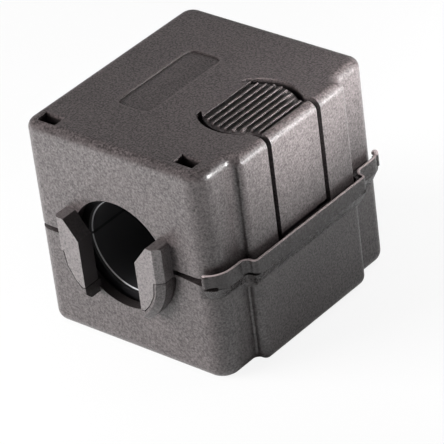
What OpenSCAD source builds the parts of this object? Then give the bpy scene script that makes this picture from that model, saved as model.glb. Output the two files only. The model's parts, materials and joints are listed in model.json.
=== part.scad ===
// Clip-on ferrite bead for a round cable.
// Two plastic shells, joined by film hinges, each hold half of a split ferrite core. A springy tongue in
// the upper shell hooks into the lower one; pressing its ribbed pad lets the part open. Claws beside
// the bore grip the cable. X runs from the hinge (-X) to the latch (+X), Y along the cable, Z up.
// The origin is at the base, in the middle of the box round the closed part.

/* [Housing] */
// Length of the housing along the cable
body_len = 33.4; // [29:0.1:42]
// Height of the closed housing
body_h = 30.5; // [27:0.1:40]
// Height of the lower shell, which is also the height of the bore's axis
lower_h = 14.65; // [13:0.05:20]
// Bore axis to the outside of the hinge wall
hinge_side = 14.05; // [12:0.05:18]
// Bore axis to the outside of the latch wall, beside the latch bay
latch_side = 15.4; // [14.4:0.1:20]
// Thickness of the side and end walls
wall = 1.4; // [1:0.1:1.8]
// Thickness of the floor and the roof
floor_t = 1.4; // [1:0.1:2]
// Gap between the rims of the closed shells
parting_gap = 0.7; // [0.3:0.1:1.2]
// How far the upper shell's latch wall is set back from the lower one's
lid_setback = 0.4; // [0.2:0.1:0.6]
// Radius along the edges of the roof
roof_r = 1.3; // [0.5:0.1:1.5]
// Radius along the edges of the floor
floor_r = 1.7; // [0.5:0.05:1.9]
// Radius of the upright corner between the front end and the latch side
front_corner_r = 2.7; // [1.9:0.1:4]
// Radius of the upright corner between the rear end and the latch side
rear_corner_r = 2; // [1.9:0.1:4]
// Radius of the upright corners on the hinge side
hinge_corner_r = 2; // [2:0.1:3]

/* [Latch bay] */
// Length of the bay that stands out of the latch wall, from end to end
bay_len = 21.2; // [17:0.2:22]
// How far the bay stands out
bay_out = 1.6; // [1.6:0.1:2]
// Radius of the bay's upright corners, on the upper shell and the collar
bay_outer_r = 0.7; // [0.4:0.1:0.8]
// Inside radius where the bay's ends meet the latch wall there
bay_inner_r = 0.9; // [0.7:0.1:1]
// Radius of the bay's upright corners on the lower shell
bay_foot_r = 1.25; // [1.2:0.01:1.25]
// Inside radius where the bay's ends meet the latch wall there
bay_valley_r = 0.3; // [0.27:0.01:0.35]

/* [Collar] */
// How far the collar stands out of the lower shell
collar_out = 0.8; // [0.5:0.1:1.2]
// Height of the collar above the lower shell's rim
collar_up = 1.75; // [1.5:0.05:2.2]
// Depth of the collar below the lower shell's rim
collar_down = 2.1; // [1.9:0.1:3]
// Height of the slope under the collar
collar_slope = 1.6; // [1:0.1:1.7]
// Thickness of the collar's lip
lip_t = 0.3; // [0.2:0.05:0.4]
// Depth of the rebate inside the lip
lip_h = 0.5; // [0.3:0.1:0.8]
// Gap between the collar and the upper shell inside it
collar_gap = 0.35; // [0.3:0.05:0.4]
// Height of the neck groove in the collar
neck_h = 0.35; // [0.2:0.05:0.4]
// Depth of the neck groove
neck_in = 0.35; // [0.2:0.05:0.4]
// Bore axis to the collar's front end
collar_front = 13.9; // [13.5:0.1:15]
// Bore axis to the collar's rear end
collar_rear = 15.3; // [13.5:0.1:15.4]
// Radius of the bead at each end of the collar
bead_r = 0.45; // [0.4:0.05:0.5]
// How far the rear bead rises above the collar
bead_up = 0.45; // [0:0.05:0.6]

/* [Core] */
// Diameter of the ferrite's bore
bore_d = 13.2; // [9:0.1:16]
// Chamfer at the ends of the bore
bore_chamfer = 0.35; // [0.2:0.05:0.6]
// Chamfer along the core's long outer edges
core_chamfer = 1.2; // [0.5:0.1:2]
// Gap between the core and the shells' side walls
core_side_gap = 0.2; // [0.1:0.05:0.4]
// Gap between the core and the shells' end walls
core_end_gap = 0.6; // [0.5:0.05:0.9]
// Height of the ribs that the core sits on
seat_h = 0.9; // [0.6:0.1:1.5]
// How much wider than the bore the holes in the shells are, on the radius
hole_margin = 1.15; // [0.8:0.05:1.5]
// Thickness of the ribs inside the shells
rib_t = 1.2; // [0.8:0.1:1.6]
// How far the snap nubs reach into the core's end grooves
nub_in = 0.3; // [0.2:0.05:0.4]
// Clearance round the nubs in their grooves
nub_gap = 0.3; // [0.2:0.05:0.4]

/* [Press latch] */
// Bore axis to the line where the tongue grows out of the roof
root_x = 5; // [4:0.1:6]
// Bore axis to the middle of the round press pad
pad_x = 9.7; // [9:0.1:10.5]
// Radius of the press pad
pad_r = 6.05; // [5.8:0.05:7]
// Width of the strip that runs down the bay
strip_w = 9.1; // [8:0.1:10]
// Radius where the pad runs into the strip
pad_blend = 1.2; // [1:0.1:2]
// Width of the slot round the tongue
slot_w = 0.8; // [0.4:0.05:0.9]
// Number of grip ribs on the pad
grip_ribs = 8; // [5:1:8]
// Distance between the grip ribs
grip_pitch = 1.07; // [0.9:0.01:1.1]
// Width of a grip rib
grip_w = 0.36; // [0.3:0.01:0.5]
// Depth of the pad's face below the roof
grip_depth = 0.45; // [0.3:0.05:0.6]
// Width of the hook at the tongue's end
hook_w = 7.2; // [5:0.1:7.6]
// Thickness of the hook's stem
stem_t = 1.2; // [0.9:0.1:1.4]
// How far the hook's nose lies under the catch
hook_bite = 0.5; // [0.3:0.05:0.6]
// Clearance round the hook
hook_gap = 0.2; // [0.15:0.01:0.3]

/* [Claws] */
// How far the claws reach into the cable's space
claw_reach = 1.9; // [1:0.1:2.4]
// How far the claws stand off the end faces
claw_out = 2.5; // [1.5:0.1:3]
// Bevel along the outside of the claws
claw_bevel = 0.85; // [0.4:0.05:1]
// Crack between the upper and the lower claw
claw_crack = 0.12; // [0.1:0.01:0.2]
// Width of the relief beside the lower claw
relief_w = 0.5; // [0.3:0.05:0.8]
// Depth of the relief beside the lower claw
relief_d = 0.4; // [0.2:0.05:0.6]

/* [Roof details] */
// Length of the core windows across the cable
window_w = 3.2; // [2:0.1:3.6]
// Width of the core windows along the cable
window_l = 2; // [1.2:0.1:2.4]
// End face to the core window on the hinge side
window_in = 1.1; // [0.8:0.05:1.4]
// How much further in the core window on the latch side is
window_step = 0.6; // [0:0.1:1]
// Length of the plain recessed label field
label_len = 15; // [8:0.5:18]
// Width of the label field
label_w = 5.5; // [3:0.1:6]
// Depth of the label field
label_d = 0.25; // [0.1:0.05:0.4]
// Corner radius of the label field
label_r = 1.2; // [0.5:0.1:2]

/* [Film hinge] */
// Width of each film
film_w = 8; // [4:0.5:10]
// Thickness of the film
film_t = 0.35; // [0.2:0.05:0.5]
// How far the film bulges out of the hinge wall
film_out = 0.95; // [0.8:0.05:1.2]
// Height of the hinge's axis above the lower shell's rim
hinge_up = 0.6; // [0.5:0.05:0.65]
// Distance of each film's middle from the middle of the part
film_y = 9; // [6:0.5:10]

/* [Hidden] */
$fn = 96;
eps = 0.01;
over = 0.25;                                        // how far cutters run past the surface
plastic = [0.22, 0.21, 0.22];
plastic_light = [0.30, 0.29, 0.30];
ferrite = [0.06, 0.06, 0.07];

rim_z = lower_h + parting_gap;                      // rim of the upper shell
hinge_z = lower_h + hinge_up;                       // axis of the hinge
roof_z = body_h - floor_t;                          // underside of the roof
half_len = body_len / 2;
lid_dx = -lid_setback;                              // latch side of the upper shell
bore_r = bore_d / 2;
hole_r = bore_r + hole_margin;
core_w = 2 * (hinge_side - wall - core_side_gap);
core_len = body_len - 2 * (wall + core_end_gap);
core_h = lower_h - floor_t - seat_h;                // of one half
collar_z = lower_h - collar_down;
collar_top = lower_h + collar_up;
x_mid = (latch_side + bay_out + collar_out - hinge_side - film_out) / 2;

// Moves a part drawn round the bore axis to the part's own origin.
module in_frame() {
    translate([-x_mid, 0, 0]) children();
}

// ---- plan outline of the housing, and shapes swept along it ----
// grow widens it all round, dx moves the latch side, dy the bay's ends and dl the housing's ends. The
// corners on the latch side follow dl.

function latch_x(grow, dx) = latch_side + dx + grow;
function bay_x(grow, dx) = latch_x(grow, dx) + bay_out;
function bay_y(grow, dy) = bay_len / 2 + dy + grow;
function end_y(grow, dl) = half_len + grow + dl;

module box_plan(grow, dx, dl) {
    x0 = -hinge_side - grow;
    x1 = latch_x(grow, dx);
    y1 = end_y(grow, dl);
    rh = hinge_corner_r + grow;
    rf = front_corner_r + grow + dl;
    rr = rear_corner_r + grow + dl;
    translate([x0 + rh, -y1]) square([x1 - rf - x0 - rh, y1]);
    translate([x0 + rh, -eps]) square([x1 - rr - x0 - rh, y1 + eps]);
    translate([x0, rh - y1]) square([2 * rh, 2 * (y1 - rh)]);
    translate([x1 - 2 * rf, rf - y1]) square([2 * rf, 2 * y1 - rf - rr]);
    for (s = [-1, 1]) translate([x0 + rh, s * (y1 - rh)]) circle(rh);
    translate([x1 - rf, rf - y1]) circle(rf);
    translate([x1 - rr, y1 - rr]) circle(rr);
}

module bay_plan(grow, dx, dy, outer, inner) {
    x1 = latch_x(grow, dx);
    xb = bay_x(grow, dx);
    yb = bay_y(grow, dy);
    ro = outer + grow;
    ri = inner - grow;
    translate([0, -yb]) square([xb - ro, 2 * yb]);
    translate([0, ro - yb]) square([xb, 2 * (yb - ro)]);
    for (s = [0, 1]) mirror([0, s]) {
        translate([xb - ro, yb - ro]) circle(ro);
        difference() {
            translate([x1 - ri, yb - ri]) square(2 * ri);
            translate([x1 + ri, yb + ri]) circle(ri);
        }
    }
}

module plan(grow = 0, dx = 0, dy = 0, dl = 0, outer = bay_outer_r, inner = bay_inner_r) {
    box_plan(grow, dx, dl);
    bay_plan(grow, dx, dy, outer, inner);
}

module run(p, heading, length) {
    translate(p) rotate(heading) rotate([90, 0, 90]) linear_extrude(length) mirror([1, 0]) children();
}

// What reaches past the turn's axis is left out.
module outer_turn(p, r, start, turn) {
    far = 10;
    translate(p) rotate(start) rotate_extrude(angle = turn) difference() {
        translate([r, 0]) children();
        translate([-far, -far]) square([far, 2 * far]);
    }
}

module inner_turn(p, r, start, turn) {
    translate(p) rotate(start) rotate_extrude(angle = turn) translate([r, 0]) mirror([1, 0]) children();
}

// Sweeps a profile, drawn with +X outwards and +Y up, once round the plan outline. The bay's corners are
// mitred, and outer rounds them.
module round_plan(grow = 0, dx = 0, dy = 0, dl = 0, outer = 0, inner = bay_inner_r) {
    x0 = -hinge_side - grow;
    x1 = latch_x(grow, dx);
    xb = bay_x(grow, dx);
    y1 = end_y(grow, dl);
    yb = bay_y(grow, dy);
    rh = hinge_corner_r + grow;
    rf = front_corner_r + grow + dl;
    rr = rear_corner_r + grow + dl;
    ri = inner - grow;
    run([x0 + rh, -y1, 0], 0, x1 - rf - x0 - rh) children();
    outer_turn([x1 - rf, rf - y1, 0], rf, -90, 90) children();
    run([x1, rf - y1, 0], 90, y1 - rf - yb - ri) children();
    inner_turn([x1 + ri, -yb - ri, 0], ri, 90, 90) children();
    run([x1 + ri, -yb, 0], 0, xb - x1 - ri + over) children();
    run([xb, -yb - over, 0], 90, 2 * (yb + over)) children();
    run([xb + over, yb, 0], 180, xb - x1 - ri + over) children();
    if (outer > 0) {
        outer_turn([xb - outer, outer - yb, 0], outer, -90, 90) children();
        outer_turn([xb - outer, yb - outer, 0], outer, 0, 90) children();
    }
    inner_turn([x1 + ri, yb + ri, 0], ri, 180, 90) children();
    run([x1, yb + ri, 0], 90, y1 - rr - yb - ri) children();
    outer_turn([x1 - rr, y1 - rr, 0], rr, 0, 90) children();
    run([x1 - rr, y1, 0], 180, x1 - rr - x0 - rh) children();
    outer_turn([x0 + rh, y1 - rh, 0], rh, 90, 90) children();
    run([x0, y1 - rh, 0], 270, 2 * (y1 - rh)) children();
    outer_turn([x0 + rh, rh - y1, 0], rh, 180, 90) children();
}

// What a rounded edge of radius r cuts off a square one.
module round_cut(r) {
    difference() {
        translate([-r, -r]) square(r + over);
        translate([-r, -r]) circle(r);
    }
}

module slab(z0, z1) {
    translate([0, 0, z0]) linear_extrude(z1 - z0) children();
}

module along_y(y0, y1) {
    translate([0, y1, 0]) rotate([90, 0, 0]) linear_extrude(y1 - y0) children();
}

module bore_cut(r) {
    translate([0, 0, lower_h]) rotate([90, 0, 0]) cylinder(h = body_len + 2 * over, r = r, center = true);
}

// ---- inside of the shells ----

module cavity_plan() {
    x0 = wall - hinge_side;
    y1 = half_len - wall;
    translate([x0, -y1]) square([latch_x(-wall, lid_dx) - x0, 2 * y1]);
    translate([0, -bay_y(-wall, 0)]) square([bay_x(-wall, lid_dx), 2 * bay_y(-wall, 0)]);
}

// Ribs that the core sits on, from z0 to z1. The middle one stops short of the press pad in the roof.
module seat_ribs(z0, z1, middle_x) {
    x0 = wall - hinge_side - eps;
    for (y = [-1, 1] * (core_len / 2 - 3 * rib_t)) {
        translate([x0, y - rib_t / 2, z0]) cube([core_w / 2 - x0, rib_t, z1 - z0]);
    }
    translate([x0, -rib_t / 2, z0]) cube([middle_x - x0, rib_t, z1 - z0]);
}

// Upright ribs that hold the core away from the latch wall.
module side_ribs(z0, z1) {
    x0 = core_w / 2 + core_side_gap;
    for (y = [-1, 1] * (core_len / 2 - 3 * rib_t)) {
        translate([x0, y - rib_t / 2, z0]) cube([latch_side + lid_dx - wall + eps - x0, rib_t, z1 - z0]);
    }
}

nub_h = 3 * nub_in;
nub_x = core_w / 2 - 2 * rib_t;
nub_level = (core_h + hole_r) / 2;                  // from the bore axis

// Snap nubs on the end walls, which engage the grooves across the core's ends. up is -1 or 1.
module nubs(up) {
    reach = core_end_gap + nub_in;
    for (x = [-1, 1] * nub_x, s = [0, 1]) mirror([0, s, 0]) {
        translate([x - rib_t / 2, half_len - wall - reach, lower_h + up * nub_level - nub_h / 2])
            cube([rib_t, reach + eps, nub_h]);
    }
}

// ---- claws ----
// Each claw has an upper finger and a lower one, parted by a slanting crack. The sections are drawn as seen
// along the cable, on the +X side of the bore axis. The lower finger lies behind the upper one's end, and
// its back follows the bore.

claw_x = bore_r - claw_reach;                       // inner face
claw_r = hole_r + 0.1;                              // back of the lower finger, at its face
claw_side_x = claw_r;                               // back of the upper finger, at its face
claw_tip = 0.5;                                     // radius of the lower finger's end, at its face
claw_foot_x = claw_x + 0.05;                        // middle of that end
claw_foot_r = claw_r - claw_tip + 0.03;             // bore axis to that middle
claw_foot_z = -sqrt(pow(claw_foot_r, 2) - pow(claw_foot_x, 2));
claw_lean = 52;                                     // slope of the upper finger's end
claw_low = 1.9;                                     // where the slope starts, above the axis
claw_high = 4.65;                                   // top of the upper finger
claw_split = -0.4;                                  // top of the lower finger
claw_crack_x = [2.8, 2.5, 1.5, 0.6];                // the crack's corners, from the inner face
claw_crack_z = [claw_split, -2.4, -4.2, -5.2];
claw_deep = claw_out - claw_bevel;
claw_back = relief_d + eps - half_len;              // back of the lower finger's root, behind the relief

module claw_slab() {
    along_y(-half_len - claw_out, -half_len) children();
}

// Where the upper finger may be: above the split, and inside the slanting crack.
module upper_zone(gap) {
    x0 = claw_x - 2 * claw_bevel;
    x = [for (dx = claw_crack_x) claw_x + dx - gap];
    z = claw_crack_z;
    along_y(-half_len - claw_out - over, claw_back + over)
        polygon([[x0, 2 * hole_r], [2 * hole_r, 2 * hole_r], [2 * hole_r, z[0] + gap], [x[0], z[0] + gap],
                 [x[1], z[1]], [x[2], z[2]], [x[3], z[3] + gap], [x0, z[3] + gap]]);
}

// A disc of radius r at the face, which a bevel widens towards the shell.
module bevelled(r, root) {
    translate([0, -half_len - claw_out, 0]) rotate([-90, 0, 0]) {
        cylinder(h = claw_bevel, r1 = r, r2 = r + claw_bevel);
        translate([0, 0, claw_bevel]) cylinder(h = claw_deep + root, r = r + claw_bevel);
    }
}

module upper_finger() {
    side_x = claw_side_x + claw_bevel;
    lean_x = claw_x + (claw_high - claw_low) / tan(claw_lean);
    y0 = -half_len - claw_out;
    round_r = 0.4;
    intersection() {
        union() {
            claw_slab() polygon([[claw_x, claw_low], [lean_x, claw_high], [side_x - round_r, claw_high],
                                 [side_x, claw_high - round_r], [side_x, claw_crack_z[3] - over],
                                 [claw_x, claw_crack_z[3] - over]]);
            claw_slab() translate([side_x - round_r, claw_high - round_r]) circle(round_r);
        }
        slab(-hole_r, hole_r) polygon([[claw_x - over, y0], [claw_side_x, y0], [side_x, y0 + claw_bevel],
                                       [side_x, -half_len], [claw_x - over, -half_len]]);
        upper_zone(claw_crack / 2);
    }
}

module lower_finger() {
    top = claw_split - claw_crack / 2;
    wide = claw_r + 2 * claw_bevel;
    foot = [claw_foot_x, claw_foot_z];
    flare = 0.4;                                    // the inner face leans in a little, below the crack
    difference() {
        union() {
            intersection() {
                bevelled(claw_r, relief_d + eps);
                along_y(-half_len - claw_out - over, claw_back + over)
                    polygon([[claw_x, top], [wide, top], [wide, foot[1]], foot * wide / claw_foot_r,
                             foot, [claw_x, claw_crack_z[3]]]);
            }
            translate([foot[0], 0, foot[1]]) bevelled(claw_tip, relief_d + eps);
        }
        upper_zone(-claw_crack / 2);
        along_y(-half_len - claw_out - over, claw_back + over)
            polygon([[0, 0], [claw_x, 0], [claw_x, claw_crack_z[3]], [claw_x - flare, -2 * hole_r],
                     [0, -2 * hole_r]]);
    }
}

// Puts a finger in its place: side is 1 or -1 for the latch or the hinge side, rear is 0 or 1.
module at_claw(side, rear) {
    mirror([0, rear, 0]) mirror([side < 0 ? 1 : 0, 0, 0]) translate([0, 0, lower_h]) children();
}

module upper_claw(side, rear) {
    color(plastic_light) in_frame() at_claw(side, rear) upper_finger();
}

// Shallow relief in the lower shell's end face, behind a lower finger.
module claw_relief() {
    r = claw_r + claw_bevel;
    drop = 1.1 * relief_w * r / claw_foot_z;        // sets the relief's back off, so that it ends at the foot
    along_y(-half_len - over, -half_len + relief_d) intersection() {
        difference() {
            translate([0, -drop]) circle(r + relief_w);
            circle(r - claw_bevel / 2);
        }
        polygon([[claw_foot_x, claw_split], [2 * r, claw_split], [2 * r, claw_foot_z],
                 [claw_foot_x, claw_foot_z]]);
    }
}

// ---- catch in the lower shell, seen along the cable ----

bay_face = bay_x(0, lid_dx);                        // outside of the tongue
stem_x = bay_face - 0.95;                           // outside of the stem
catch_x = stem_x + hook_gap;                        // inside of the catch
nose_x = catch_x + hook_bite;
nose_top = lower_h - 0.6;                           // face of the hook's nose
nose_h = 1.4;
nose_bottom = nose_top - nose_h;
nose_room = 1.1;                                    // free height under the hook
skin_bottom = collar_top - 0.05;                    // where the tongue's skin stops, inside the collar
catch_play = 1;                                     // free width on each side of the hook
catch_w = hook_w + 2 * catch_play;
catch_t = 1;                                        // thickness of the catch at its inside
catch_lead = bay_face + collar_gap - catch_x;       // run of the slope that guides the hook in
catch_top = nose_top + catch_t + catch_lead;

module catch_cut() {
    x0 = bay_x(-wall, lid_dx) - bay_out;
    along_y(-catch_w / 2, catch_w / 2)
        polygon([[x0, nose_bottom - nose_room], [x0 + bay_out, nose_bottom - nose_room],
                 [nose_x + hook_gap, nose_bottom + 0.1], [nose_x + hook_gap, nose_top + hook_gap],
                 [catch_x, nose_top + hook_gap], [catch_x, catch_top - catch_lead],
                 [catch_x + catch_lead, catch_top], [catch_x + catch_lead, catch_top + over],
                 [x0, catch_top + over]]);
}

// ---- lower shell ----

module collar_zone() {
    translate([collar_front, -body_len]) square(body_len);
    translate([collar_rear, -eps]) square(body_len);
}

module collar_slab(z0, z1, inwards = 0) {
    slab(z0, z1) intersection() {
        plan(0, collar_out, collar_out - inwards, collar_out - inwards);
        collar_zone();
    }
}

module collar() {
    tilt = collar_slope / collar_out;
    tuck = 0.6;                                     // how far the slope runs on into the wall
    neck_top = lower_h - 0.1;
    top_r = 0.15;                                   // rounding of the collar's top edge
    difference() {
        union() {
            collar_slab(collar_z - tuck * tilt, neck_top - neck_h);
            collar_slab(neck_top - neck_h - eps, neck_top + eps, neck_in);
            collar_slab(neck_top, collar_top);
        }
        translate([0, 0, collar_z]) round_plan(0, collar_out, collar_out, collar_out)
            polygon([[-collar_out - tuck, -over - tuck * tilt], [over, -over - tuck * tilt],
                     [over, collar_slope + over * tilt], [-collar_out - tuck, -tuck * tilt]]);
        translate([0, 0, collar_top]) round_plan(0, collar_out, collar_out, collar_out) round_cut(top_r);
    }
}

// A round post with a domed top.
module bead(x, y, top) {
    h = top - lower_h;
    translate([x, y, lower_h]) rotate_extrude()
        polygon([[0, 0], [bead_r, 0], [bead_r, h - 0.55 * bead_r], [0.8 * bead_r, h - 0.2 * bead_r],
                 [0.4 * bead_r, h], [0, h]]);
}

// The ends of the collar are beads, standing on the collar's corner arcs.
module collar_beads() {
    arc = (collar_gap + collar_out) / 2;            // middle of the collar's thickness
    fx = latch_side - front_corner_r;
    fy = half_len - front_corner_r;
    front_x = collar_front + bead_r / 2;
    rx = latch_side - rear_corner_r;
    ry = half_len - rear_corner_r;
    rear_x = collar_rear + bead_r / 2;
    bead(front_x, -fy - sqrt(pow(front_corner_r + arc, 2) - pow(front_x - fx, 2)), collar_top);
    bead(rear_x, ry + sqrt(pow(rear_corner_r + arc, 2) - pow(rear_x - rx, 2)), collar_top + bead_up);
}

module catch_block() {
    x1 = catch_x + catch_lead + eps;
    translate([catch_x, -catch_w / 2, lower_h - eps])
        cube([x1 - catch_x, catch_w, catch_top - lower_h + eps]);
}

module lower_shell() {
    relief_x = 9.5;                                 // where the wedges cut off the end walls' rims start
    relief_h = 0.6;                                 // their depth at the latch side
    color(plastic) in_frame() difference() {
        union() {
            difference() {
                union() {
                    slab(0, lower_h) plan(outer = bay_foot_r, inner = bay_valley_r);
                    collar();
                    collar_beads();
                }
                mirror([0, 0, 1]) round_plan(outer = bay_foot_r, inner = bay_valley_r)
                    round_cut(floor_r);
                slab(floor_t, lower_h + over) cavity_plan();
                slab(lower_h, collar_top + 2 * over) plan(collar_gap, lid_dx);
                slab(collar_top - lip_h, collar_top + eps)
                    plan(-lip_t, collar_out, collar_out, collar_out);
                bore_cut(hole_r);
                for (s = [0, 1]) mirror([0, s, 0]) along_y(half_len - wall - eps, half_len + over)
                    polygon([[relief_x, lower_h + eps], [latch_side + eps, lower_h + eps],
                             [latch_side + eps, lower_h - relief_h]]);
                for (side = [-1, 1], rear = [0, 1]) at_claw(side, rear) claw_relief();
            }
            catch_block();
            seat_ribs(floor_t - eps, floor_t + seat_h, core_w / 2);
            side_ribs(floor_t - eps, lower_h - collar_down);
            nubs(-1);
            for (side = [-1, 1], rear = [0, 1]) at_claw(side, rear) lower_finger();
        }
        catch_cut();
    }
}

// ---- upper shell and its press latch ----

module lid_skin() {
    difference() {
        slab(rim_z, body_h) plan(0, lid_dx);
        translate([0, 0, body_h]) round_plan(0, lid_dx) round_cut(roof_r);
        slab(rim_z - over, roof_z) cavity_plan();
        bore_cut(hole_r);
    }
}

// Plan of the tongue: a round pad cut off at its root, running into a straight strip.
module latch_plan(grow) {
    s = strip_w / 2 + grow;
    blend = pad_blend - grow;
    blend_x = pad_x + sqrt(pow(pad_r + pad_blend, 2) - pow(strip_w / 2 + pad_blend, 2));
    intersection() {
        union() {
            translate([pad_x, 0]) circle(pad_r + grow);
            translate([pad_x, -s]) square([latch_side, 2 * s]);
            for (m = [0, 1]) mirror([0, m]) difference() {
                polygon([[pad_x, 0], [blend_x, 0], [blend_x, s + blend]]);
                translate([blend_x, s + blend]) circle(blend);
            }
        }
        translate([root_x, -2 * pad_r]) square([2 * latch_side, 4 * pad_r]);
    }
}

// Ribs across the pad. Their edges are bevelled, and they stop short of the slot.
module grip() {
    shift = 1.05;                                   // the ribs lie nearer to the strip than to the root
    x0 = pad_x + shift - (grip_ribs - 1) * grip_pitch / 2;
    margin = 0.4;
    bevel = grip_w / 4;
    for (i = [0 : grip_ribs - 1]) {
        x = x0 + i * grip_pitch;
        l = max(sqrt(max(0, pow(pad_r - margin, 2) - pow(x - pad_x, 2))), strip_w / 2 - margin);
        translate([x, 0, body_h]) along_y(-l, l)
            polygon([[-grip_w / 2, -grip_depth - eps], [grip_w / 2, -grip_depth - eps], [grip_w / 2, -bevel],
                     [grip_w / 2 - bevel, 0], [bevel - grip_w / 2, 0], [-grip_w / 2, -bevel]]);
    }
}

module press_latch() {
    grip_x0 = root_x + 1;
    grip_x1 = bay_face - roof_r;
    stem_set = 0.4;                                 // thickness of the stem where it joins the skin
    color(plastic_light) in_frame() {
        difference() {
            intersection() {
                lid_skin();
                slab(skin_bottom, body_h + over) latch_plan(0);
            }
            translate([grip_x0, -2 * pad_r, body_h - grip_depth])
                cube([grip_x1 - grip_x0, 4 * pad_r, grip_depth + over]);
        }
        grip();
        along_y(-hook_w / 2, hook_w / 2)
            polygon([[stem_x - stem_t, nose_bottom], [stem_x, nose_bottom], [nose_x, nose_bottom + hook_bite],
                     [nose_x, nose_top], [stem_x, nose_top], [stem_x, skin_bottom],
                     [stem_x, skin_bottom + 2 * stem_t], [stem_x - stem_set, skin_bottom + 2 * stem_t],
                     [stem_x - stem_t, skin_bottom + stem_t]]);
    }
}

module upper_shell() {
    rib_inset = 2;                                  // from the tongue's root to the middle seat rib
    rib_reach = 4;                                  // of the side ribs, down the core's side
    latch_margin = 0.9;                             // from the latch wall's inside to the window
    label_margin = 5.7;                             // from the tongue's root to the label field
    window_y = window_in - half_len;
    window_z = roof_z - over;
    hinge_window = [wall - hinge_side + 0.2, window_y, window_z];
    latch_window = [latch_side + lid_dx - wall - latch_margin - window_w, window_y + window_step, window_z];
    label_x = root_x - label_margin - label_w;
    color(plastic) in_frame() difference() {
        union() {
            difference() {
                lid_skin();
                slab(rim_z - over, body_h + over) latch_plan(slot_w);
            }
            seat_ribs(lower_h + core_h, roof_z + eps, root_x - rib_inset);
            side_ribs(lower_h + core_h - rib_reach, roof_z + eps);
            nubs(1);
        }
        for (corner = [hinge_window, latch_window])
            translate(corner) cube([window_w, window_l, floor_t + 2 * over]);
        slab(body_h - label_d, body_h + over) {
            for (x = [label_r, label_w - label_r], y = [-1, 1] * (label_len / 2 - label_r))
                translate([label_x + x, y]) circle(label_r);
            translate([label_x, label_r - label_len / 2]) square([label_w, label_len - 2 * label_r]);
            translate([label_x + label_r, -label_len / 2]) square([label_w - 2 * label_r, label_len]);
        }
    }
}

// ---- film hinge ----

module film_hinge(y) {
    color(plastic_light) in_frame() translate([-hinge_side, y, hinge_z])
        along_y(-film_w / 2, film_w / 2) intersection() {
            difference() {
                circle(film_out);
                circle(film_out - film_t);
            }
            translate([-2 * film_out, -2 * film_out]) square([2 * film_out, 4 * film_out]);
        }
}

// ---- core ----

// One half of the core, with its bore axis on Y and the half below it.
module core_half() {
    difference() {
        along_y(-core_len / 2, core_len / 2) difference() {
            polygon([[-core_w / 2, 0], [-core_w / 2, core_chamfer - core_h],
                     [core_chamfer - core_w / 2, -core_h], [core_w / 2 - core_chamfer, -core_h],
                     [core_w / 2, core_chamfer - core_h], [core_w / 2, 0]]);
            circle(bore_r);
        }
        for (s = [0, 1]) mirror([0, s, 0]) {
            translate([0, core_len / 2 + eps, 0]) rotate([90, 0, 0])
                cylinder(h = bore_chamfer + eps, r1 = bore_r + bore_chamfer + eps, r2 = bore_r);
            translate([-core_w, core_len / 2 - nub_in - nub_gap, -nub_level - nub_h / 2 - nub_gap])
                cube([2 * core_w, core_end_gap, nub_h + 2 * nub_gap]);
        }
    }
}

module core_lower() {
    color(ferrite) in_frame() translate([0, 0, lower_h]) core_half();
}

module core_upper() {
    color(ferrite) in_frame() translate([0, 0, lower_h]) mirror([0, 0, 1]) core_half();
}

module film_hinge_front() film_hinge(-film_y);
module film_hinge_rear() film_hinge(film_y);
module claw_front_hinge() upper_claw(-1, 0);
module claw_front_latch() upper_claw(1, 0);
module claw_rear_hinge() upper_claw(-1, 1);
module claw_rear_latch() upper_claw(1, 1);

lower_shell();
upper_shell();
press_latch();
film_hinge_front();
film_hinge_rear();
claw_front_hinge();
claw_front_latch();
claw_rear_hinge();
claw_rear_latch();
core_lower();
core_upper();
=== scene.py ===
# %% [markdown]
# # A clip-on ferrite bead
# Two moulded shells of dark plastic, joined by film hinges, hold a split ferrite core. The CAD model
# already has every rigid piece, so this lesson adds what a CAD model lacks: a camera, light, the grain of
# the plastic, the dark sheen of the ferrite, and thin film bands in place of the stiff hinges.
# Everything is in metres and in the frame of the CAD model.

# %% Load the CAD model
import json
import math

import bmesh
import bpy
from mathutils import Matrix, Vector


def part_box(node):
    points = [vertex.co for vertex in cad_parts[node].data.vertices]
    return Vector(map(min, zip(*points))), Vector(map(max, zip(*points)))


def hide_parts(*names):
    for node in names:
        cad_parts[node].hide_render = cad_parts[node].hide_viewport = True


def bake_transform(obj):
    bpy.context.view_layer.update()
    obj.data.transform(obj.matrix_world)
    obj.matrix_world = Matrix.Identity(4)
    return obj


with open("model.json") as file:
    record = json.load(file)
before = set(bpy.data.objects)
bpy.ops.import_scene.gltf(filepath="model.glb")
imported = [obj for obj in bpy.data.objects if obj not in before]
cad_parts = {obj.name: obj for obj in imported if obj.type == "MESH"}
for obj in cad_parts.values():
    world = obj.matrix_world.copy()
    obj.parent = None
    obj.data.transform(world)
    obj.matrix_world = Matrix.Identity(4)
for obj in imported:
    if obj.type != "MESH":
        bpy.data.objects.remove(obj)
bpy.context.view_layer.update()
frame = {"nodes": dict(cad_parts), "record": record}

MM = 0.001
nodes = frame["nodes"]
print("nodes:", ", ".join(sorted(nodes)))

# %% [markdown]
# ## Where things are
# The finishes need to know where the bore, the walls and the roof are. Those places could be typed in as
# numbers, but a number goes stale when the model changes, so they come from the boxes of the CAD nodes. The
# two core halves meet in the plane of the bore's axis, and the upper shell ends at the roof. What no box
# tells is measured from one: the latch bay stands proud of the wall, and a small bead tops the collar.

# %% Heights and walls that the finishes need
core_low, core_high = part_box("core_lower")
lower_low, lower_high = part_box("lower_shell")
upper_low, upper_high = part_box("upper_shell")
axis_z = core_high[2]
bore_x = (core_low[0] + core_high[0]) / 2
bore = next(mount for mount in frame["record"]["mounts"] if mount["name"] == "cable_bore")
bore_radius = bore["dims"]["r_mm"] * MM
roof_z = upper_high[2]
print("bore axis at height", round(axis_z / MM, 2), "mm; roof at", round(roof_z / MM, 2), "mm")

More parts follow.
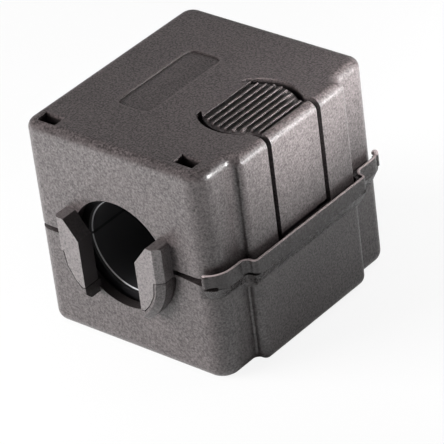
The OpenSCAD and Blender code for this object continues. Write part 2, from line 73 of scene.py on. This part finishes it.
# %% The latch bay and the collar
bay_half = 10 * MM
bay_out = 1.5 * MM
wall_x = upper_high[0] - bay_out
bead_up = 0.45 * MM
bead_top = lower_high[2]
collar_foot = axis_z - 2.2 * MM
collar_lip = bead_top - bead_up
print("collar from", round(collar_foot / MM, 2), "to", round(collar_lip / MM, 2), "mm")

# %% [markdown]
# ## Camera
# The part is seen from well above the latch side's front corner. A short lens near by would make its far
# edges shrink. A long lens from far away keeps them nearly parallel, as for a small product on a table.
# Blender's track quaternion aims the camera, and a small roll tilts the view.

# %% Place the camera
camera_at = Vector((255.14, -270.12, 246.01)) * MM
aim_at = Vector((1.99, -1.10, 11.83)) * MM
camera_roll = math.radians(-7.62)

camera = bpy.data.cameras.new("camera")
camera.sensor_width = 36
camera.lens = 276.35
camera.clip_start = 0.01
camera_object = bpy.data.objects.new("camera", camera)
bpy.context.scene.collection.objects.link(camera_object)
aim = (aim_at - camera_at).to_track_quat("-Z", "Y").to_matrix().to_4x4()
camera_object.matrix_world = Matrix.Translation(camera_at) @ aim @ Matrix.Rotation(camera_roll, 4, "Z")
bpy.context.scene.camera = camera_object
print("camera distance in mm:", round((aim_at - camera_at).length / MM))

# %% [markdown]
# ## Shader maths as expressions
# A procedural finish is mostly arithmetic: how far a point is from the bore, or how much of one colour goes
# with how much pitting. It could be drawn as a large node graph, which is slow to read. Here a small class
# wraps an output of a node and overloads the operators, so that an expression such as 1 - mask adds its own
# Math nodes.

# %% A wire and its operators
class Wire:
    """An output of a shader node. Sums and products of wires add Math nodes."""

    def __init__(self, finish, socket):
        self.finish = finish
        self.socket = socket

    def _math(self, operation, *values):
        return self.finish.node("ShaderNodeMath", {"operation": operation}, dict(enumerate(values)))

    def __add__(self, other):
        return self._math("ADD", self, other)

    def __radd__(self, other):
        return self._math("ADD", other, self)

    def __sub__(self, other):
        return self._math("SUBTRACT", self, other)

    def __rsub__(self, other):
        return self._math("SUBTRACT", other, self)

    def __mul__(self, other):
        return self._math("MULTIPLY", self, other)

    def __rmul__(self, other):
        return self._math("MULTIPLY", other, self)

    def __truediv__(self, other):
        return self._math("DIVIDE", self, other)

    def __pow__(self, other):
        return self._math("POWER", self, other)

    def __abs__(self):
        return self._math("ABSOLUTE", self)

    def at_least(self, least):
        return self._math("MAXIMUM", self, least)

    def clamp(self):
        return self.finish.node("ShaderNodeClamp", {}, {0: self})

    def above(self, edge, soft):
        """0 below edge and 1 above it, with a soft step."""
        return ((self - (edge - soft / 2)) / soft).clamp()

    def below(self, edge, soft):
        return 1 - self.above(edge, soft)


print("a wire can also be:", ", ".join(name for name in vars(Wire) if not name.startswith("_")))


# %% A finish and its nodes
class Finish:
    """A material and its nodes. node() adds any node: its settings go first, then its inputs."""

    def __init__(self, name):
        self.material = bpy.data.materials.new(name)
        self.material.use_nodes = True
        self.nodes = self.material.node_tree.nodes
        self.links = self.material.node_tree.links
        self.shader = self.nodes["Principled BSDF"]

    def node(self, kind, settings, inputs, output=0):
        node = self.nodes.new(kind)
        for key, value in settings.items():
            setattr(node, key, value)
        self.set(node, inputs)
        return Wire(self, node.outputs[output])

    def set(self, node, inputs):
        for key, value in inputs.items():
            if isinstance(value, Wire):
                self.links.new(value.socket, node.inputs[key])
            else:
                node.inputs[key].default_value = value

    def coordinates(self, kind):
        """Object gives the point on the object and Normal its face's direction, each with its x, y and z."""
        vector = self.node("ShaderNodeTexCoord", {}, {}, kind)
        first = self.node("ShaderNodeSeparateXYZ", {}, {0: vector})
        return vector, *(Wire(self, socket) for socket in first.socket.node.outputs)

    def noise(self, point, scale, detail, roughness):
        inputs = {"Vector": point, "Scale": scale, "Detail": detail, "Roughness": roughness}
        return self.node("ShaderNodeTexNoise", {}, inputs)

    def mix(self, factor, a, b):
        """A colour between a and b."""
        return self.node("ShaderNodeMix", {"data_type": "RGBA"}, {0: factor, 6: a, 7: b}, 2)

    def bump(self, height, distance):
        return self.node("ShaderNodeBump", {}, {"Height": height, "Distance": distance})


print("a finish can make:", ", ".join(name for name in vars(Finish) if not name.startswith("_")))


# %% Steps and swings
def between(value, lowest, highest, soft=0.2 * MM):
    """1 between the two levels and 0 outside them."""
    return value.above(lowest, soft) * value.below(highest, soft)


def swing(noise, amount):
    """A noise, which lies round a half, as an amount more or less than 0."""
    return (noise - 0.5) * amount


print("two helpers:", between.__name__, "and", swing.__name__)

# %% [markdown]
# ## Floor and background
# The part stands on a plain white table whose far side curves up out of sight. A real sweep of card is made
# by bending a sheet, so here one edge of a sheet is extruded up, and the fold is bevelled. Where the camera
# sees the card directly, it is mostly plain white, with a share of the real shading so that the part
# keeps its shadow.

# %% A bmesh becomes an object
def to_mesh_object(bm, name):
    mesh = bpy.data.meshes.new(name)
    bm.to_mesh(mesh)
    bm.free()
    piece = bpy.data.objects.new(name, mesh)
    bpy.context.scene.collection.objects.link(piece)
    for face in mesh.polygons:
        face.use_smooth = True
    return piece


# %% Fold the sheet
table_half = 1.2
table_back = 1.6
wall_height = 1.5
bend_radius = 0.5

bm = bmesh.new()
near_side = [(-table_half, -table_half), (table_half, -table_half)]
far_side = [(table_half, table_back), (-table_half, table_back)]
bm.faces.new([bm.verts.new((x, y, 0)) for x, y in near_side + far_side])
back_edge = max(bm.edges, key=lambda edge: min(vert.co.y for vert in edge.verts))
raised = bmesh.ops.extrude_edge_only(bm, edges=[back_edge])
wall_top = [item for item in raised["geom"] if isinstance(item, bmesh.types.BMVert)]
bmesh.ops.translate(bm, verts=wall_top, vec=(0, 0, wall_height))
fold = [edge for edge in bm.edges if len(edge.link_faces) == 2]
bmesh.ops.bevel(bm, geom=fold, offset=bend_radius, segments=16, profile=0.5, affect="EDGES", material=-1)
bmesh.ops.recalc_face_normals(bm, faces=bm.faces)

# %% Turn the sheet to face the camera
away = aim_at - camera_at
turn = Matrix.Rotation(-math.atan2(away.x, away.y), 4, "Z")
bmesh.ops.transform(bm, matrix=turn, verts=bm.verts)
sweep = to_mesh_object(bm, "sweep")
print("sweep:", len(sweep.data.polygons), "faces")

# %% White card
shade_share = 0.12
card = Finish("white_card")
card.set(card.shader, {"Base Color": (0.70, 0.70, 0.70, 1), "Roughness": 0.9, "Specular IOR Level": 0.2})
white = card.node("ShaderNodeEmission", {}, {"Color": (1, 1, 1, 1), "Strength": 1.0})
seen = card.node("ShaderNodeLightPath", {}, {}, "Is Camera Ray")
shaded = Wire(card, card.shader.outputs[0])
mixed = card.node("ShaderNodeMixShader", {}, {0: seen * (1 - shade_share), 1: shaded, 2: white})
card.set(card.nodes["Material Output"], {"Surface": mixed})
sweep.data.materials.append(card.material)
print("card keeps", shade_share, "of its shading")

# %% [markdown]
# ## Light
# Dark plastic shows its shape by what it mirrors. One large soft box at the front left lights the faces, but
# it is kept out of reflections, so that no broad glare lies on the pits. The upright faces also mirror the
# white table, so two low boxes light it, one before the part and one behind. A narrow strip just above
# the roof, on the latch side, draws the bright lines along the rounded edges there, and a small box stands
# far behind.

# %% A soft box
def soft_box(name, place, width, height, power, target=(0, 0, 15 * MM), spread=180, in_reflections=True):
    light = bpy.data.lights.new(name, "AREA")
    light.shape = "RECTANGLE"
    light.size = width
    light.size_y = height
    light.energy = power
    light.spread = math.radians(spread)
    piece = bpy.data.objects.new(name, light)
    turn = (Vector(target) - Vector(place)).to_track_quat("-Z", "Y").to_matrix().to_4x4()
    piece.matrix_world = Matrix.Translation(place) @ turn
    piece.visible_camera = False
    piece.visible_glossy = in_reflections
    bpy.context.scene.collection.objects.link(piece)
    print(name, "at", place, "with", power, "W")


# %% Light for the part
soft_box("key_box", (-0.50, -0.58, 0.24), width=0.6, height=0.35, power=20, in_reflections=False)
strip_at = (0.041, 0.008, 0.0335)
strip_to = (0.016, 0.008, 0.0315)
soft_box("strip_box", strip_at, width=0.034, height=0.004, power=0.0155, target=strip_to, spread=66)
soft_box("rear_box", (0.30, 0.30, 0.22), width=0.22, height=0.08, power=0.30)


# %% Light for the table
def table_box(name, x, y, power, height=0.09, side=0.10):
    """A box that hangs over a place on the table and looks straight down at it."""
    place, target = (x, y, height), (x, y, 0)
    soft_box(name, place, side, side, power, target, spread=100, in_reflections=False)


table_box("table_box", -0.055, -0.085, power=0.065)
table_box("far_table_box", 0.065, 0.085, power=0.10)

# %% A dim room
room_light = 0.23
world = bpy.data.worlds.new("room")
world.use_nodes = True
bpy.context.scene.world = world
room = world.node_tree
dim = room.nodes["Background"]
dim.inputs["Color"].default_value = (0.5, 0.5, 0.5, 1)
dim.inputs["Strength"].default_value = room_light
print("room light strength:", room_light)

# %% A white background for the camera alone
plain = room.nodes.new("ShaderNodeBackground")
plain.inputs["Color"].default_value = (1, 1, 1, 1)
path = room.nodes.new("ShaderNodeLightPath")
choose = room.nodes.new("ShaderNodeMixShader")
room.links.new(path.outputs["Is Camera Ray"], choose.inputs[0])
room.links.new(dim.outputs[0], choose.inputs[1])
room.links.new(plain.outputs[0], choose.inputs[2])
room.links.new(choose.outputs[0], room.nodes["World Output"].inputs["Surface"])
print("the camera sees white past the card")

# %% [markdown]
# ## Where shade is painted
# Inside a moulding hardly any light arrives, and dark walls lose what does. The gloss of the pitted skin
# would still catch it and turn those places grey, so shade is painted there: the colour is darker and the
# coat duller. It could be a second material, but a CAD node's mesh isn't touched, so masks choose the place.
# Boxes on the object's own coordinates find the inner walls, and round the bore the direction of the surface
# tells which faces look towards its axis. Neither depends on where the camera stands.

# %% The outermost layer of the housing
def outer_layer(x, y, z):
    """1 in the housing's outermost layer and 0 further in."""
    skin = 0.55 * MM
    deep = 2 * skin
    height_in = between(z, skin, roof_z - skin)
    body_along = between(y, upper_low[1] + deep, upper_high[1] - deep)
    body_across = between(x, lower_low[0] + deep, wall_x - deep)
    bay_along = between(y, -bay_half, bay_half)
    bay_across = between(x, lower_low[0] + skin, upper_high[0] - skin)
    out_of_both = (1 - body_along * body_across) * (1 - bay_along * bay_across)
    return 1 - height_in * (1 - out_of_both)


# %% Faces that look towards the bore
def towards_bore(finish, x, z):
    """1 on faces near the bore that look towards its axis, such as the inner sides of the claws."""
    reach = 9.5 * MM
    _, normal_x, _, normal_z = finish.coordinates("Normal")
    across, up = x - bore_x, z - axis_z
    looks_in = (across * normal_x + up * normal_z).below(-2 * MM, 2 * MM)
    near = (across * across + up * up).below(reach ** 2, MM ** 2)
    return looks_in * near


# %% [markdown]
# ## Edges on the housing
# Two places of the mould stand out. The collar was left smoother, so there the pits fade out and the plastic
# is darker, and a thin painted highlight runs along its lip. The label field on the roof is a shallow recess
# with
# round corners: painted shade lies along its foot, under its wall, and a painted highlight lies along its
# rim. The recess is in the CAD model, and here the distance from its outline marks the foot and the rim.

# %% The collar and its lip
def collar_marks(x, z):
    """Where the collar is smooth, and where a highlight is painted along its lip."""
    latch_end = x.above(wall_x - 2.4 * MM, 0.8 * MM)
    smooth = between(z, collar_foot, bead_top) * latch_end
    painted_lip_highlight = z.above(collar_lip - 0.08 * MM, 0.06 * MM) * latch_end
    return smooth, painted_lip_highlight


# %% The label field's foot and rim
field_x = bore_x - 3.45 * MM
field_width = 5.5 * MM
field_length = 15 * MM
field_corner = 1.2 * MM


def field_marks(x, y):
    """Painted shade at the foot inside the field's outline, and a painted highlight on the rim outside it."""
    soft = 0.06 * MM
    line = 0.02 * MM
    side = (abs(x - field_x) - (field_width / 2 - field_corner)).at_least(0)
    end = (abs(y) - (field_length / 2 - field_corner)).at_least(0)
    past = (side * side + end * end) ** 0.5 - field_corner
    return between(past, -0.22 * MM, line, soft), between(past, line, 0.24 * MM, soft)


print("label field in mm:", round(field_width / MM, 2), "by", round(field_length / MM, 2))

# %% [markdown]
# ## Plastic
# The housing comes from one spark-eroded mould: its surface is a fine, even pitting, about a third of a
# millimetre across, that breaks up the shine. Two noises on the object's own coordinates give the pits, and
# a third, much larger one gives the slight clouds that such dark plastic has. The pits could be in the bump
# alone, but a bump this fine fades from afar, so they also vary the colour and the weight of the coat,
# which is the gloss that mirrors the table. The claws are smoother than the housing, paler and glossier.

# %% Tones of one plastic
def tones(tone):
    """The pits' dark tone, the light tone between them, and the tone of a painted highlight."""
    return ([channel * share for channel in tone] + [1] for share in (0.45, 1.9, 8))


# %% Spark-eroded plastic
def eroded_plastic(name, tone, pit_depth, gloss=0.5, collar=False, label=False):
    finish = Finish(name)
    point, x, y, z = finish.coordinates("Object")
    roof = z.above(roof_z - 0.3 * MM, 0.2 * MM)
    # a highlight is painted along the collar's lip, in the painted highlight tone
    smooth, painted_lip_highlight = collar_marks(x, z) if collar else (0.0, 0.0)
    # painted shade along the label field's foot, and a painted highlight along its rim
    painted_foot_shade, painted_rim_highlight = field_marks(x, y) if label else (0.0, 0.0)
    # painted shade: the inner walls, the faces towards the bore and the label field's foot get a darker
    # colour and less coat
    painted_shade_factor = outer_layer(x, y, z) * (1 - 0.95 * towards_bore(finish, x, z)) * (1 - 0.85 * roof * painted_foot_shade)
    rough = 1 - 0.8 * smooth

    pits = finish.noise(point, scale=4100, detail=2, roughness=0.5)
    grain = finish.noise(point, scale=2600, detail=3, roughness=0.6)
    clouds = finish.noise(point, scale=160, detail=4, roughness=0.6)

    # The collar is darker and duller than the rest. The roof is painted a little lighter, a painted light,
    # and its pits show more. A painted highlight lies on the label field's rim and along the collar's lip.
    dark_tone, light_tone, painted_highlight_tone = tones(tone)
    speckle = (swing(grain, 0.9) + swing(pits, 1.6)) * rough * (1 + 1.5 * roof)
    mean = 0.4 - 0.35 * smooth + 0.12 * roof + 0.5 * roof * painted_rim_highlight
    shade = (mean + speckle + swing(clouds, 0.4)).clamp() * painted_shade_factor
    coat = gloss * (1 - 0.7 * smooth) + (swing(grain, 0.9) + swing(pits, 1.9)) * rough
    finish.set(finish.shader, {
        "Base Color": finish.mix(painted_lip_highlight * painted_shade_factor, finish.mix(shade, dark_tone, light_tone), painted_highlight_tone),
        "Roughness": (0.24 + 0.14 * rough + swing(grain, 0.3) + swing(clouds, 0.12)).clamp(),
        "Normal": finish.bump((pits * 0.6 + grain * 0.4) * rough, pit_depth),
        "IOR": 1.5,
        "Coat Weight": (coat * painted_shade_factor).clamp(),
        "Coat IOR": 1.6,
        "Coat Roughness": 0.34,
    })
    return finish.material


# %% The housing's and the claws' plastic
housing_tone = (0.044, 0.0365, 0.0365)
claw_tone = (0.076, 0.066, 0.066)
housing_pits = 0.075 * MM
claw_pits = 0.01 * MM
lower_finish = eroded_plastic("eroded_lower", housing_tone, housing_pits, collar=True)
upper_finish = eroded_plastic("eroded_upper", housing_tone, housing_pits, label=True)
claw_finish = eroded_plastic("eroded_claw", claw_tone, claw_pits, gloss=0.95)
print("plastic finishes:", lower_finish.name, upper_finish.name, claw_finish.name)

# %% [markdown]
# ## Ferrite
# Sintered ferrite is a nearly black ceramic. It is pressed from powder, so it has a very fine grain. A thin
# light ring on the small bevel at the mouth of the bore is a painted highlight, and the bevel is smoother
# there. The wall of the bore is ground, so it is a little greyer than the rest, and the seam between the
# halves stays dark.
# All of them are found from the distance to the bore's axis and from the core's ends.

# %% The mouth, the wall and the seam of the bore
def bore_marks(x, y, z):
    """Where the highlight is painted on the bore's mouth, and where the ground wall of the bore is."""
    ring = 0.12 * MM
    bevel = 0.35 * MM
    radius = ((x - bore_x) ** 2 + (z - axis_z) ** 2) ** 0.5
    off_seam = 1 - abs(z - axis_z).below(0.2 * MM, 0.1 * MM)
    wall = radius.below(bore_radius + 0.03 * MM, 0.03 * MM) * off_seam
    near_wall = radius.below(bore_radius + ring, 0.05 * MM) * off_seam
    painted_mouth_highlight = near_wall * abs(y).above(core_high[1] - bevel, 0.04 * MM)
    return painted_mouth_highlight, wall


# %% Ferrite with a painted highlight on its mouth
def ferrite(name):
    finish = Finish(name)
    point, x, y, z = finish.coordinates("Object")
    painted_mouth_highlight, wall = bore_marks(x, y, z)
    grain = finish.noise(point, scale=6000, detail=3, roughness=0.6)
    blotches = finish.noise(point, scale=420, detail=4, roughness=0.65)
    body = finish.mix(blotches, (0.005, 0.005, 0.006, 1), (0.012, 0.011, 0.012, 1))
    # a painted highlight: the bevel at the mouth of the bore is coloured light grey
    painted_highlight_colour = (0.50, 0.50, 0.52, 1)
    finish.set(finish.shader, {
        "Base Color": finish.mix((painted_mouth_highlight + wall * 0.07).clamp(), body, painted_highlight_colour),
        "Roughness": (0.55 - painted_mouth_highlight * 0.25 + swing(grain, 0.2)).clamp(),
        "Normal": finish.bump(grain, 0.012 * MM),
        "IOR": 1.45,
    })
    return finish.material


ferrite_finish = ferrite("ferrite")
print("ferrite finish:", ferrite_finish.name, "round a bore of", round(bore_radius / MM, 2), "mm radius")


# %% Give each CAD node its finish
def dress(names, material):
    for name in names:
        for slot in nodes[name].material_slots:
            slot.material = material
        print("  ", name, "->", material.name)


claw_names = [name for name in sorted(nodes) if name.startswith("claw_")]
dress(["lower_shell"], lower_finish)
dress(["upper_shell", "press_latch"], upper_finish)
dress(claw_names, claw_finish)
dress(["core_lower", "core_upper"], ferrite_finish)

# %% [markdown]
# ## Film hinges
# A film hinge is a band of the same plastic, thin enough to bend for years. It starts on the lower shell's
# wall, bulges outwards, and ends on the upper shell's. In the CAD model it is a stiff half ring. Here a
# rectangle is spun through half a turn in 24 steps, and its long edges are broken.

# %% Spin a half ring
def half_ring(centre, outer, thickness, ends):
    """A band from the lower wall round to the upper one, with its long edges broken."""
    bm = bmesh.new()
    near, far = ends
    corners = [(0, near), (thickness, near), (thickness, far), (0, far)]
    verts = [bm.verts.new((centre.x, y, centre.z - outer + inward)) for inward, y in corners]
    section = bm.faces.new(verts)
    bmesh.ops.spin(
        bm, geom=[section], cent=centre, axis=(0, 1, 0), angle=math.pi, steps=24,
        use_merge=False, use_duplicate=False,
    )
    inner_edges = [edge for edge in bm.edges if len(edge.link_faces) == 2]
    sharp = math.radians(70)
    long_edges = [edge for edge in inner_edges if edge.calc_face_angle() > sharp]
    broken = 0.05 * MM
    bmesh.ops.bevel(bm, geom=long_edges, offset=broken, segments=2, profile=0.5, affect="EDGES", material=-1)
    bmesh.ops.recalc_face_normals(bm, faces=bm.faces)
    return bm


# %% Make the two bands
def film_band(name):
    low, high = (Vector(corner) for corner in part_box(name))
    outer = (high.z - low.z) / 2
    thickness = 0.35 * MM
    centre = Vector((high.x, 0, (low.z + high.z) / 2))
    bm = half_ring(centre, outer, thickness, (low.y, high.y))
    band = to_mesh_object(bm, name.replace("film_hinge", "film_band"))
    band.data.materials.append(claw_finish)
    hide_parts(name)
    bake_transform(band)
    print(band.name, "is", round((high.y - low.y) / MM, 1), "mm wide,", len(band.data.polygons), "faces")


for hinge in ("film_hinge_front", "film_hinge_rear"):
    film_band(hinge)

# %% [markdown]
# ## Last settings
# The view transform stays plain, so that the colours come out as they are written.

# %% Finish
bpy.context.scene.view_settings.view_transform = "Standard"
